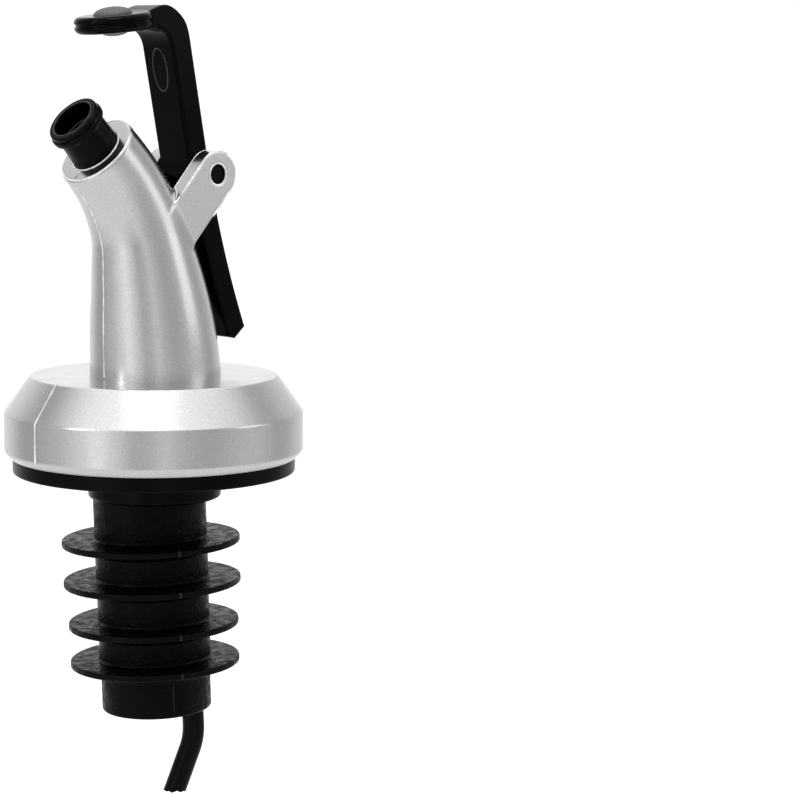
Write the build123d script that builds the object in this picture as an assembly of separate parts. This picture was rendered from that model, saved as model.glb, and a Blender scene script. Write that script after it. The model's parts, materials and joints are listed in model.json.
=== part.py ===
"""Liquor pour spout with a flip-up lever, as an assembly of separate pieces.

Millimetres. +Z runs up the plug's axis. The origin is the centre of the face that
rests on the bottle's rim. The spout pours towards -X and the lever swings about Y.
"""
import math
import os

from build123d import *

# ---- collar and neck shell ----
COLLAR_R = 19.5
COLLAR_BOTTOM_R = 18.5
COLLAR_BOTTOM_Z = 1.85
COLLAR_WALL_Z = 7.9
COLLAR_TOP_Z = 12.65
COLLAR_TOP_R = 16.1
SHELL_WALL = 1.4
# Neck stations from the collar up: centre x, centre z, outer radius.
NECK_STATIONS = [
    (0.2, 12.35, 8.55),
    (-0.35, 19.35, 8.1),
    (-1.25, 25.75, 7.2),
    (-2.65, 31.85, 6.2),
    (-5.5, 37.35, 5.65),
    (-9.42, 41.98, 5.35),
]
SPOUT_TILT = 43.0
MOUTH_END_WALL = 1.3

# ---- ears and pivot ----
PIVOT_X = 6.25
PIVOT_Z = 38.75
EAR_R = 3.05
EAR_TILT = 42.0
EAR_LENGTH = 11.0
EAR_INNER_Y = 3.3
EAR_OUTER_Y = 5.6
PIN_R = 1.25
PIN_HALF_LENGTH = 5.25
HINGE_CLEARANCE = 0.05

# ---- liner (the black pour tube) ----
LINER_R = 3.3
LINER_MOUTH_R = 3.05
LINER_BORE_R = 2.3
MOUTH_BORE_R = 2.7
MOUTH_BORE_DEPTH = 2.3
MOUTH_LENGTH = 5.35
LINER_BEND_R = 21.0
FOOT_R = 9.0
FOOT_PLUG_R = 6.2
FOOT_TOP_Z = 6.4
HOLD_DOWN_TOP_Z = 11.0
HOLD_DOWN_INNER_R = 7.6
FOOT_SEAT_Z = 5.0
FOOT_BOTTOM_Z = 1.0

# ---- base disc ----
DISC_R = 18.45
SEAT_INNER_R = 12.3
SEAT_RELIEF = 0.3
BOSS_R = 8.7
BOSS_BOTTOM_Z = -3.45
SPIGOT_OUTER_R = 17.1
SPIGOT_INNER_R = 15.8
SPIGOT_TOP_Z = 5.0

# ---- stopper ----
CORE_TOP_R = 7.4
CORE_LOW_R = 7.35
CORE_END_R = 7.2
STOPPER_BORE_R = 6.25
STOPPER_BOTTOM_Z = -31.85
FIN_ROOT = 1.9
FIN_EDGE = 0.8
# Fins from the top down: middle height of the rim, rim radius.
FINS = [(-9.25, 11.7), (-14.65, 11.65), (-20.3, 11.2), (-25.4, 11.15)]

# ---- breather tube ----
BREATHER_R = 1.45
BREATHER_BORE_R = 1.0
BREATHER_AZIMUTH = -40.0
BREATHER_SOCKET_OFFSET = 4.2
BREATHER_WALL_OFFSET = 4.75
BREATHER_BEND_Z = -36.25
BREATHER_BEND_R = 9.0
BREATHER_TIP_OFFSET = 1.7
BREATHER_END_Z = -44.05
BREATHER_CUT_Z = -43.45

# ---- lever ----
LEVER_HALF_WIDTH = 3.05
LEVER_HUB_R = 2.75
LEVER_DISC_R = 5.05
LEVER_DISC_EDGE_R = 0.6
HEAD_START_X = -3.6
HEAD_START_Z = 59.4
HEAD_HEIGHT = 2.2
HEAD_SLOPE = 7.0
PAD_X = -6.5
PAD_STEM_R = 1.0
PAD_DOME_R = 2.5
PAD_DOME_HEIGHT = 0.95
PAD_LENS_R = 1.75
PAD_LENS_HEIGHT = 0.6


def tilted_plane(x, z, tilt):
    """Plane in the symmetry plane, its normal leaning towards -X by tilt degrees."""
    a = math.radians(tilt)
    return Plane(origin=(x, 0, z), x_dir=(0, 1, 0), z_dir=(-math.sin(a), 0, math.cos(a)))


def neck_tilts():
    """Lean of the neck's axis at each station, from the spline through them."""
    line = Spline([(x, 0, z) for x, z, r in NECK_STATIONS], tangents=[(0, 0, 1), spout_direction()])
    tilts = []
    for x, z, r in NECK_STATIONS:
        t = line.tangent_at(line.param_at_point((x, 0, z)))
        tilts.append(math.degrees(math.atan2(-t.X, t.Z)))
    return tilts


def spout_direction():
    a = math.radians(SPOUT_TILT)
    return (-math.sin(a), 0, math.cos(a))


def neck_body(inset):
    """Lofted neck, its wall moved inwards by inset."""
    sections = []
    for (x, z, r), tilt in zip(NECK_STATIONS, neck_tilts()):
        sections.append(tilted_plane(x, z, tilt) * Circle(r - inset))
    return loft(sections)


def revolved(points):
    """Solid of revolution about Z from a closed outline of (radius, z) points."""
    outline = Polyline(*[(r, 0, z) for r, z in points], close=True)
    return revolve(make_face(outline), axis=Axis.Z)


def ear_plate(y_low, y_high):
    """Round-ended plate standing off the back of the neck at the pivot."""
    a = math.radians(EAR_TILT)
    ux, uz = math.sin(a), math.cos(a)
    nx, nz = math.cos(a), -math.sin(a)
    bx = PIVOT_X - EAR_LENGTH * ux
    bz = PIVOT_Z - EAR_LENGTH * uz
    p1 = (PIVOT_X + EAR_R * nx, y_low, PIVOT_Z + EAR_R * nz)
    tip = (PIVOT_X + EAR_R * ux, y_low, PIVOT_Z + EAR_R * uz)
    p2 = (PIVOT_X - EAR_R * nx, y_low, PIVOT_Z - EAR_R * nz)
    p3 = (bx - EAR_R * nx, y_low, bz - EAR_R * nz)
    p4 = (bx + EAR_R * nx, y_low, bz + EAR_R * nz)
    edges = [ThreePointArc(p1, tip, p2), Line(p2, p3), Line(p3, p4), Line(p4, p1)]
    return extrude(make_face(edges), amount=y_high - y_low, dir=(0, 1, 0))


def spout_shell():
    collar = revolved([
        (0, COLLAR_BOTTOM_Z),
        (COLLAR_BOTTOM_R, COLLAR_BOTTOM_Z),
        (COLLAR_R - 0.25, COLLAR_BOTTOM_Z + 0.45),
        (COLLAR_R, COLLAR_BOTTOM_Z + 1.05),
        (COLLAR_R, COLLAR_WALL_Z),
        (COLLAR_TOP_R, COLLAR_TOP_Z),
        (0, COLLAR_TOP_Z),
    ])
    shell = collar + neck_body(0)
    for y in (-EAR_OUTER_Y, EAR_INNER_Y):
        shell += ear_plate(y, y + EAR_OUTER_Y - EAR_INNER_Y)
    cavity = revolved([
        (0, COLLAR_BOTTOM_Z - 1),
        (SPIGOT_OUTER_R + 0.05, COLLAR_BOTTOM_Z - 1),
        (SPIGOT_OUTER_R + 0.05, COLLAR_WALL_Z - 0.4),
        (COLLAR_TOP_R - 1.0, COLLAR_TOP_Z - 1.6),
        (0, COLLAR_TOP_Z - 1.6),
    ])
    shell -= cavity
    end_x, end_z, end_r = NECK_STATIONS[-1]
    end_plane = tilted_plane(end_x, end_z, SPOUT_TILT)
    mouth_block = end_plane * Pos(0, 0, -MOUTH_END_WALL) * Cylinder(
        12, 12, align=(Align.CENTER, Align.CENTER, Align.MIN))
    hollow = neck_body(SHELL_WALL) - mouth_block
    stub = Pos(NECK_STATIONS[0][0], 0, COLLAR_TOP_Z - 2.5) * Cylinder(
        NECK_STATIONS[0][2] - SHELL_WALL - 0.2, 3.5, align=(Align.CENTER, Align.CENTER, Align.MIN))
    shell -= hollow
    shell -= stub
    shell -= end_plane * Cylinder(LINER_R + 0.05, 8)
    pin_hole = Pos(PIVOT_X, 0, PIVOT_Z) * Rot(90, 0, 0) * Cylinder(PIN_R + HINGE_CLEARANCE, 14)
    return shell - pin_hole


def liner_path():
    """Mouth end of the liner's plain tube down to its foot: line, arc, line."""
    end_x, end_z, end_r = NECK_STATIONS[-1]
    a = math.radians(SPOUT_TILT)
    bend_x = end_x + straight_run() * math.sin(a)
    bend_z = end_z - straight_run() * math.cos(a)
    low_z = bend_z - LINER_BEND_R * math.sin(a)
    mid = math.radians(SPOUT_TILT / 2)
    arc_mid = (-LINER_BEND_R * (1 - math.cos(mid)), 0, low_z + LINER_BEND_R * math.sin(mid))
    upper = Line((end_x, 0, end_z), (bend_x, 0, bend_z))
    bend = ThreePointArc((bend_x, 0, bend_z), arc_mid, (0, 0, low_z))
    lower = Line((0, 0, low_z), (0, 0, FOOT_TOP_Z - 1))
    return Wire([upper, bend, lower])


def straight_run():
    """Length of the tube's straight run behind the ring face, so that its bend ends on the axis."""
    end_x = NECK_STATIONS[-1][0]
    a = math.radians(SPOUT_TILT)
    drop = LINER_BEND_R * (1 - math.cos(a))
    return (-end_x - drop) / math.sin(a)


def pour_liner():
    path = liner_path()
    end_x, end_z, end_r = NECK_STATIONS[-1]
    end_plane = tilted_plane(end_x, end_z, SPOUT_TILT)
    tube = sweep(end_plane * Circle(LINER_R), path=path)
    length = MOUTH_LENGTH
    mouth = revolved([
        (0, -0.5),
        (LINER_R, -0.5),
        (LINER_R, 0.4),
        (LINER_MOUTH_R, length - 1.6),
        (3.5, length - 1.35),
        (3.6, length - 1.15),
        (3.6, length - 0.85),
        (3.3, length - 0.7),
        (3.3, length - 0.55),
        (3.45, length - 0.42),
        (3.45, length - 0.15),
        (3.3, length),
        (0, length),
    ])
    foot = revolved([
        (0, FOOT_BOTTOM_Z),
        (FOOT_PLUG_R - 0.3, FOOT_BOTTOM_Z),
        (FOOT_PLUG_R, FOOT_BOTTOM_Z + 0.6),
        (FOOT_PLUG_R, FOOT_SEAT_Z),
        (FOOT_R, FOOT_SEAT_Z),
        (FOOT_R, HOLD_DOWN_TOP_Z),
        (HOLD_DOWN_INNER_R, HOLD_DOWN_TOP_Z),
        (HOLD_DOWN_INNER_R, FOOT_TOP_Z),
        (0, FOOT_TOP_Z),
    ])
    body = tube + end_plane * mouth + foot
    bore = sweep(end_plane * Circle(LINER_BORE_R), path=path)
    body -= bore
    body -= end_plane * Pos(0, 0, -0.1) * Cylinder(
        LINER_BORE_R, length, align=(Align.CENTER, Align.CENTER, Align.MIN))
    body -= end_plane * Pos(0, 0, length - MOUTH_BORE_DEPTH) * Cylinder(
        MOUTH_BORE_R, MOUTH_BORE_DEPTH + 1, align=(Align.CENTER, Align.CENTER, Align.MIN))
    body -= Pos(0, 0, FOOT_BOTTOM_Z - 1) * Cylinder(
        LINER_BORE_R, FOOT_TOP_Z - FOOT_BOTTOM_Z + 1, align=(Align.CENTER, Align.CENTER, Align.MIN))
    return body - breather_solid(BREATHER_R + 0.03)


def base_disc():
    disc = revolved([
        (CORE_TOP_R + 0.05, BOSS_BOTTOM_Z),
        (BOSS_R - 0.4, BOSS_BOTTOM_Z),
        (BOSS_R, BOSS_BOTTOM_Z + 0.4),
        (BOSS_R, SEAT_RELIEF),
        (SEAT_INNER_R, SEAT_RELIEF),
        (SEAT_INNER_R, 0),
        (DISC_R - 0.25, 0),
        (DISC_R, 0.25),
        (DISC_R, COLLAR_BOTTOM_Z),
        (SPIGOT_OUTER_R, COLLAR_BOTTOM_Z),
        (SPIGOT_OUTER_R, SPIGOT_TOP_Z),
        (SPIGOT_INNER_R, SPIGOT_TOP_Z),
        (SPIGOT_INNER_R, COLLAR_BOTTOM_Z),
        (CORE_TOP_R + 0.05, COLLAR_BOTTOM_Z),
    ])
    return disc


def stopper():
    outline = [
        (STOPPER_BORE_R, FOOT_SEAT_Z),
        (FOOT_R, FOOT_SEAT_Z),
        (FOOT_R, COLLAR_BOTTOM_Z),
        (CORE_TOP_R, COLLAR_BOTTOM_Z),
    ]
    for z, r in FINS:
        core = CORE_TOP_R if z > FINS[1][0] - 1 else CORE_LOW_R
        below = CORE_TOP_R if z > FINS[1][0] else CORE_LOW_R
        top = z + FIN_EDGE / 2
        bottom = z - FIN_EDGE / 2
        outline.append((core, top + 0.35))
        outline.append((core + 0.35, top))
        outline.append((r - 0.15, top))
        outline.append((r, top - 0.15))
        outline.append((r, bottom + 0.15))
        outline.append((r - 0.15, bottom))
        outline.append((below, top - FIN_ROOT))
    last_z = FINS[-1][0] + FIN_EDGE / 2 - FIN_ROOT
    outline.append((CORE_LOW_R, last_z - 0.3))
    outline.append((CORE_END_R, last_z - 0.3))
    outline.append((CORE_END_R, STOPPER_BOTTOM_Z + 0.3))
    outline.append((CORE_END_R - 0.3, STOPPER_BOTTOM_Z))
    outline.append((STOPPER_BORE_R, STOPPER_BOTTOM_Z))
    return revolved(outline)


def breather_wire():
    """Centre line of the breather tube: two straight runs joined by one bend."""
    a = math.radians(BREATHER_AZIMUTH)
    points = []
    for offset, z in (
        (BREATHER_SOCKET_OFFSET, FOOT_SEAT_Z - 0.6),
        (BREATHER_WALL_OFFSET, BREATHER_BEND_Z),
        (BREATHER_TIP_OFFSET, BREATHER_END_Z),
    ):
        points.append((offset * math.cos(a), offset * math.sin(a), z))
    return FilletPolyline(*points, radius=BREATHER_BEND_R)


def breather_solid(radius):
    path = breather_wire()
    start = path.position_at(0)
    section = Plane(origin=start, z_dir=path.tangent_at(0)) * Circle(radius)
    return sweep(section, path=path)


def breather_tube():
    tube = breather_solid(BREATHER_R) - breather_solid(BREATHER_BORE_R)
    a = math.radians(BREATHER_AZIMUTH)
    tip = (BREATHER_TIP_OFFSET * math.cos(a), BREATHER_TIP_OFFSET * math.sin(a), BREATHER_CUT_Z)
    cutter = Plane(origin=tip, z_dir=(0.25, -0.35, -1.0)) * Cylinder(
        6, 6, align=(Align.CENTER, Align.CENTER, Align.MIN))
    return tube - cutter


def lever_outline():
    """Closed side profile of the lever's bar in the symmetry plane, lever open."""
    def at(x, z):
        return (x, 0, z)

    outer_tail = ThreePointArc(at(13.35, 18.25), at(9.88, 28.35), at(7.25, PIVOT_Z))
    outer_arm = Line(at(7.25, PIVOT_Z), at(4.05, 55.4))
    start_top = at(HEAD_START_X, head_top_z(HEAD_START_X))
    start_bottom = at(HEAD_START_X, head_top_z(HEAD_START_X) - HEAD_HEIGHT)
    end_top = at(PAD_X, head_top_z(PAD_X))
    end_bottom = at(PAD_X, head_top_z(PAD_X) - HEAD_HEIGHT)
    outer_bend = Spline(
        [at(4.05, 55.4), at(3.0, 58.5), at(0.35, 60.3), start_top],
        tangents=[(-0.19, 0, 0.98), (-0.9925, 0, -0.122)])
    head_top = Line(start_top, end_top)
    head_end = Line(end_top, end_bottom)
    head_bottom = Line(end_bottom, start_bottom)
    inner_bend = Spline(
        [start_bottom, at(-1.6, 57.35), at(-0.2, 56.65), at(0.72, 54.95)],
        tangents=[(0.9925, 0, 0.122), (0.19, 0, -0.98)])
    inner_arm = Line(at(0.72, 54.95), at(3.9, PIVOT_Z))
    inner_tail = ThreePointArc(at(3.9, PIVOT_Z), at(6.65, 28.35), at(10.0, 18.05))
    end_a = Line(at(10.0, 18.05), at(10.25, 17.05))
    end_b = Line(at(10.25, 17.05), at(11.6, 16.75))
    end_c = Line(at(11.6, 16.75), at(13.35, 18.25))
    return [outer_tail, outer_arm, outer_bend, head_top, head_end, head_bottom,
            inner_bend, inner_arm, inner_tail, end_a, end_b, end_c]


def head_top_z(x):
    """Height of the head's flat upper face, which falls away towards the tip."""
    return HEAD_START_Z + (x - HEAD_START_X) * math.tan(math.radians(HEAD_SLOPE))


def head_thickness():
    return HEAD_HEIGHT * math.cos(math.radians(HEAD_SLOPE))


def pad_plane(offset):
    """Plane parallel to the head's upper face, under the pad's centre by offset."""
    top = tilted_plane(PAD_X, head_top_z(PAD_X), HEAD_SLOPE)
    return top * Pos(0, 0, -offset)


def lever():
    bar = extrude(make_face(lever_outline()), amount=2 * LEVER_HALF_WIDTH, dir=(0, 1, 0))
    bar = Pos(0, -LEVER_HALF_WIDTH, 0) * bar
    disc = Cylinder(LEVER_DISC_R, head_thickness())
    disc = fillet(disc.edges().filter_by(GeomType.CIRCLE), LEVER_DISC_EDGE_R)
    hub = Pos(PIVOT_X, 0, PIVOT_Z) * Rot(90, 0, 0) * Cylinder(LEVER_HUB_R, 2 * LEVER_HALF_WIDTH)
    body = bar + pad_plane(head_thickness() / 2) * disc + hub
    body -= Pos(PIVOT_X, 0, PIVOT_Z) * Rot(90, 0, 0) * Cylinder(PIN_R, 14)
    body -= pad_plane(head_thickness() / 2) * Cylinder(PAD_STEM_R + 0.02, 6)
    return body


def pivot_pin():
    pin = Cylinder(PIN_R, 2 * PIN_HALF_LENGTH)
    pin = chamfer(pin.edges().filter_by(GeomType.CIRCLE), 0.2)
    return Pos(PIVOT_X, 0, PIVOT_Z) * Rot(90, 0, 0) * pin


def cap(radius, height):
    """Spherical cap standing on its flat side at the origin."""
    sphere_r = (radius ** 2 + height ** 2) / (2 * height)
    ball = Pos(0, 0, height - sphere_r) * Sphere(sphere_r)
    above = Cylinder(radius + 1, height + 1, align=(Align.CENTER, Align.CENTER, Align.MIN))
    return ball & above


def seal_pad():
    dome = pad_plane(0) * cap(PAD_DOME_R, PAD_DOME_HEIGHT)
    lens = pad_plane(head_thickness()) * Rot(180, 0, 0) * cap(PAD_LENS_R, PAD_LENS_HEIGHT)
    stem = pad_plane(head_thickness() / 2) * Cylinder(PAD_STEM_R, head_thickness() + 0.4)
    return dome + stem + lens


def main():
    os.makedirs("parts", exist_ok=True)
    pieces = {
        "spout_shell": spout_shell(),
        "base_disc": base_disc(),
        "pour_liner": pour_liner(),
        "stopper": stopper(),
        "breather_tube": breather_tube(),
        "lever": lever(),
        "pivot_pin": pivot_pin(),
        "seal_pad": seal_pad(),
    }
    for name, piece in pieces.items():
        export_step(piece, f"parts/{name}.step")
        box = piece.bounding_box()
        print(name, len(piece.solids()), round(piece.volume, 1), box.min, box.max)


main()
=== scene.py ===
import json
import math

import bpy
import numpy as np
from mathutils import Matrix, Vector

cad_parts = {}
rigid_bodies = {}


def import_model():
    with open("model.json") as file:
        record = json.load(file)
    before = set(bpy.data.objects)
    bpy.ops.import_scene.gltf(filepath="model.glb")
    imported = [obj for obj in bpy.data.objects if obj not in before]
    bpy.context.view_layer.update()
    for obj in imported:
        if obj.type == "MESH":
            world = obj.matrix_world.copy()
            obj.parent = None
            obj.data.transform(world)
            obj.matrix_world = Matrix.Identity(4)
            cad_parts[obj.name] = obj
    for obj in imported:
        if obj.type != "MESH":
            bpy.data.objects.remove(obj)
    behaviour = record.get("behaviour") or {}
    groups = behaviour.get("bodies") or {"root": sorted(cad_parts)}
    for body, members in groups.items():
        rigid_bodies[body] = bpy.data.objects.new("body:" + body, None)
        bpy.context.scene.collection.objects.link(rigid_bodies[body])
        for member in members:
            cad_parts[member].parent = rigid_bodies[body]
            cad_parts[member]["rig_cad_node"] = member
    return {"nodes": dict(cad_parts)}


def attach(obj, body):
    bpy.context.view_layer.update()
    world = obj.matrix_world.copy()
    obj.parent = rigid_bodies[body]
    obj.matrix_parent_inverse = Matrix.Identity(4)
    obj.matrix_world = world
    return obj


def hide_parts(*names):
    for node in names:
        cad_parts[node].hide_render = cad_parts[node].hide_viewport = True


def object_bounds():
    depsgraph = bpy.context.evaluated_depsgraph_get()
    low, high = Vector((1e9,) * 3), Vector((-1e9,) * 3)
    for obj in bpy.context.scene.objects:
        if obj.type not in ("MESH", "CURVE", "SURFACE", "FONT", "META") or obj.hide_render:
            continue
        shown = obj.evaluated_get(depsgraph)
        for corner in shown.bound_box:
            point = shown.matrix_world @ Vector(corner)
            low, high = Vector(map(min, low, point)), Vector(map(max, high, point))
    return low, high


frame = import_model()
cad_low, cad_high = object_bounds()

# Lengths are in millimetres, in the CAD part's frame, and MM turns them into metres.
MM = 0.001

# ---- shell: collar, bent neck and ears ----
COLLAR_R = 19.5
COLLAR_BOTTOM_R = 18.5
COLLAR_BOTTOM_Z = 1.85
COLLAR_WALL_Z = 7.9
COLLAR_TOP_Z = 12.65
COLLAR_TOP_R = 16.1
CAVITY_R = 17.15
SHELL_WALL = 1.4
COLLAR_FOOT_RISE = 1.05
COLLAR_TOP_WALL = 1.6
# Neck stations from the collar up: centre x, centre z, outer radius.
NECK_STATIONS = [
    (0.2, 12.35, 8.55),
    (-0.35, 19.35, 8.1),
    (-1.25, 25.75, 7.2),
    (-2.65, 31.85, 6.2),
    (-5.5, 37.35, 5.65),
    (-9.42, 41.98, 5.35),
]
SPOUT_TILT = math.radians(43)
MOUTH_END_WALL = 1.3
PIVOT = (6.25, 38.75)
EAR_R = 3.05
EAR_TILT = math.radians(42)
EAR_LENGTH = 11.0
EAR_MIDDLE_Y = 4.45
EAR_HALF_THICKNESS = 1.15
EAR_EDGE_R = 0.28
PIN_HOLE_R = 1.3
# How far edges and joins are rounded over.
EAR_BLEND = 0.55
RING_EDGE_BLEND = 0.5
RING_HOLE_BLEND = 0.2
PIN_HOLE_BLEND = 0.35
RING_HOLE_CLEARANCE = 0.05
RING_HOLE_OVERRUN = 1
NECK_BELOW_COLLAR_TOP = 1.1
# Box round the neck and ears, and the size of their mesh's cells.
NECK_BOX = ((-15.5, -9.6, 11.2), (9.9, 9.6, 46.6))
NECK_CELL = 0.17

# ---- fine raised lines on the shell, in a lighter skin that paints their highlights: radii of the beads, and how deep they sit ----
EAR_OUTER_BEAD_R = 0.14
EAR_INNER_BEAD_R = 0.11
EAR_BEAD_INSET = 0.08
EAR_LINE_START = 0.5
EAR_FRONT_LINE_END = 6.2
EAR_LOWER_LINE_END = 4.6
PIN_RIM_BEAD_R = 0.11
PIN_RIM_OUT = 0.1
PIN_RIM_INSET = 0.06
RING_HOLE_BEAD_R = 0.1
RING_HOLE_LINE_OUT = 0.14
RING_RIM_BEAD_R = 0.13
RING_RIM_INSET = 0.24
RING_RIM_DROP = 0.1
NECK_PARTING_BEAD_R = 0.08
PARTING_BEAD_R = 0.09
PARTING_END_GAP = 0.45

# ---- liner ----
LINER_R = 3.3
LINER_BORE_R = 2.3
MOUTH_BORE_R = 2.7
MOUTH_BORE_DEPTH = 2.3
MOUTH_LENGTH = 5.35
LINER_BEND_R = 21.0
FOOT_R = 9.0
FOOT_PLUG_R = 6.2
FOOT_SEAT_Z = 5.0
FOOT_TOP_Z = 6.4
FOOT_BOTTOM_Z = 1.0
HOLD_DOWN_TOP_Z = 11.0
HOLD_DOWN_INNER_R = 7.6
LINER_RING_STEP = 0.35
# The lip's outside, up to its end: radius, distance back from the end, corner radius.
LIP_OUTLINE = [(3.2, 1.75, 0.25), (3.76, 1.5, 0.3), (3.76, 0.8, 0.3), (3.4, 0.68, 0.1), (3.56, 0.52, 0.2)]
LIP_END_R = 3.56
# The mouth's rim and step beads are drawn in a lighter black as painted highlights.
MOUTH_RIM_LINE_R = 2.86
MOUTH_RIM_LINE_DROP = 0.01
MOUTH_STEP_LINE_R = 2.4
MOUTH_BEAD_R = 0.07

# ---- base disc and stopper ----
DISC_R = 18.45
SEAT_INNER_R = 12.3
SEAT_RELIEF = 0.3
BOSS_R = 8.7
BOSS_BOTTOM_Z = -3.45
SPIGOT_OUTER_R = 17.1
SPIGOT_INNER_R = 15.8
SPIGOT_TOP_Z = 5.0
CORE_CLEARANCE = 0.05
COLLAR_GAP = 0.02
CORE_TOP_R = 7.4
CORE_LOW_R = 7.35
CORE_END_R = 7.2
STOPPER_BORE_R = 6.25
STOPPER_BOTTOM_Z = -31.85
FIN_ROOT = 1.9
FIN_EDGE = 0.8
FINS = [(-9.25, 11.7), (-14.65, 11.65), (-20.3, 11.2), (-25.4, 11.15)]
CORE_STEP_DROP = 0.3
STOPPER_SEAM = math.radians(-112)
TAB_BEAD_R = 0.16
TAB_HALF_HEIGHT = 0.34
TAB_SINK = 0.06
TAB_PROUD = 0.05
SEAM_BEAD_R = 0.09
SEAM_SINK = 0.02
SEAM_END_GAP = 0.4
# The soft stopper hangs a little askew: turned by LEAN about a level line through its axis at LEAN_Z.
LEAN = math.radians(1.8)
LEAN_Z = -26
LEAN_AZIMUTH = math.radians(-40)

# ---- breather tube ----
BREATHER_R = 1.45
BREATHER_BORE_R = 1.0
BREATHER_AZIMUTH = math.radians(-40)
BREATHER_ROUTE = [(4.2, 4.4), (4.75, -36.25), (1.7, -44.05)]
BREATHER_BEND_R = 9.0
# The cut end: how ragged it is, which way and how far it slants, and how far the cut goes back.
CUT_SEED = 4
CUT_RAGGED = 0.16
CUT_WAY = (0.25, -0.35, 0)
CUT_SLANT = 0.8
CUT_BACK = 0.7

# ---- lever ----
LEVER_HALF_WIDTH = 3.05
LEVER_HUB_R = 2.75
LEVER_PIN_R = 1.25
LEVER_DISC_R = 5.05
HEAD_START = (-3.6, 59.4)
HEAD_HEIGHT = 2.2
HEAD_SLOPE = math.radians(7)
HEAD_THICKNESS = HEAD_HEIGHT * math.cos(HEAD_SLOPE)
PAD_X = -6.5
# The arm's face towards the mouth runs straight between these points (x, z).
ARM_FACE_LOW = (3.9, PIVOT[1])
ARM_FACE_HIGH = (0.72, 54.95)
# Edge radii, the groove round the head's disc, and how far joins are rounded over.
BAR_EDGE_R = 0.42
DISC_EDGE_R = 0.8
HUB_EDGE_R = 0.2
GROOVE_R = 0.22
GROOVE_BLEND = 0.12
DISC_BLEND = 0.15
HUB_BLEND = 0.4
LEVER_BOX = ((-12.0, -5.4, 16.2), (13.8, 5.4, 60.8))
LEVER_CELL = 0.14
OVAL_Z = 52.1
OVAL_HALF_WIDTH = 1.35
OVAL_HALF_HEIGHT = 2.8
OVAL_BEAD_R = 0.085
OVAL_FLATTEN = 0.7
PAD_DOME_R = 2.5
PAD_DOME_HEIGHT = 0.95
PAD_LENS_R = 1.75
PAD_LENS_DEPTH = 0.6
PAD_STEM_R = 1.0
# A dome or lens stops this share of a quarter turn short of its pole.
DOME_POLE_GAP = 0.02
LENS_POLE_GAP = 0.03


# ---------------------------------------------------------------- mesh helpers

def link_object(name, data):
    """New object in the scene for a mesh, light or camera."""
    obj = bpy.data.objects.new(name, data)
    bpy.context.scene.collection.objects.link(obj)
    return obj


def full_turn(count):
    return np.linspace(0, 2 * math.pi, count, endpoint=False)


def round_about(turns, across, side):
    """Directions at those angles, from across towards side."""
    return np.outer(np.cos(turns), across) + np.outer(np.sin(turns), side)


def add_object(name, points, faces, normals=None):
    """Object from points in millimetres and faces; normals are used as they are given."""
    mesh = bpy.data.meshes.new(name)
    mesh.from_pydata((np.asarray(points) * MM).tolist(), [], faces)
    mesh.validate()
    mesh.update()
    mesh.polygons.foreach_set("use_smooth", [True] * len(mesh.polygons))
    if normals is not None:
        mesh.normals_split_custom_set_from_vertices(np.asarray(normals).tolist())
    return link_object(name, mesh)


def rounded(corners, closed=True, steps=5):
    """Outline with each corner (a, b, radius) rounded by an arc of that radius."""
    out = []
    count = len(corners)
    for i, (a, b, radius) in enumerate(corners):
        p = np.array((a, b), float)
        last = np.array(corners[(i - 1) % count][:2], float)
        following = np.array(corners[(i + 1) % count][:2], float)
        at_end = not closed and i in (0, count - 1)
        if radius <= 0 or at_end:
            out.append(tuple(p))
            continue
        to_last = (last - p) / np.linalg.norm(last - p)
        to_next = (following - p) / np.linalg.norm(following - p)
        half = math.acos(np.clip(np.dot(to_last, to_next), -1, 1)) / 2
        reach = radius / math.tan(half)
        longest = 0.48 * min(np.linalg.norm(last - p), np.linalg.norm(following - p))
        if reach > longest:
            reach = longest
            radius = reach * math.tan(half)
        middle = to_last + to_next
        centre = p + middle / np.linalg.norm(middle) * radius / math.sin(half)
        start = p + to_last * reach - centre
        end = p + to_next * reach - centre
        turn = math.atan2(start[0] * end[1] - start[1] * end[0], np.dot(start, end))
        for k in range(steps + 1):
            t = turn * k / steps
            c, s = math.cos(t), math.sin(t)
            out.append((centre[0] + start[0] * c - start[1] * s, centre[1] + start[0] * s + start[1] * c))
    return out


def ring_faces(rows, columns, wrap_rows):
    """Quads between rows of points that each close on themselves."""
    faces = []
    last = rows if wrap_rows else rows - 1
    for i in range(last):
        j = (i + 1) % rows
        for k in range(columns):
            m = (k + 1) % columns
            faces.append((i * columns + k, i * columns + m, j * columns + m, j * columns + k))
    return faces


def lathe(name, outline, frames=None, columns=128):
    """Solid of revolution from a closed (radius, height) outline, going anticlockwise.

    frames gives, for a height, the axis point and the two directions across it."""
    turns = full_turn(columns)
    rows, radials, axes = [], [], []
    for radius, height in outline:
        if frames is None:
            centre, across, side = np.array((0, 0, height)), np.array((1, 0, 0)), np.array((0, 1, 0))
        else:
            centre, across, side = frames(height)
        radial = round_about(turns, across, side)
        rows.append(centre + radius * radial)
        radials.append(radial)
        axes.append(np.cross(across, side))
    obj = add_object(name, np.concatenate(rows), ring_faces(len(outline), columns, True))
    starts, ends = outline_normals(np.array(outline))
    corner_normals = []
    for i in range(len(outline)):
        j = (i + 1) % len(outline)
        first = starts[i][0] * radials[i] + starts[i][1] * axes[i]
        second = ends[i][0] * radials[j] + ends[i][1] * axes[j]
        quad = np.stack([first, np.roll(first, -1, 0), np.roll(second, -1, 0), second], axis=1)
        corner_normals.append(quad.reshape(-1, 3))
    obj.data.normals_split_custom_set(np.concatenate(corner_normals).tolist())
    return obj


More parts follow.
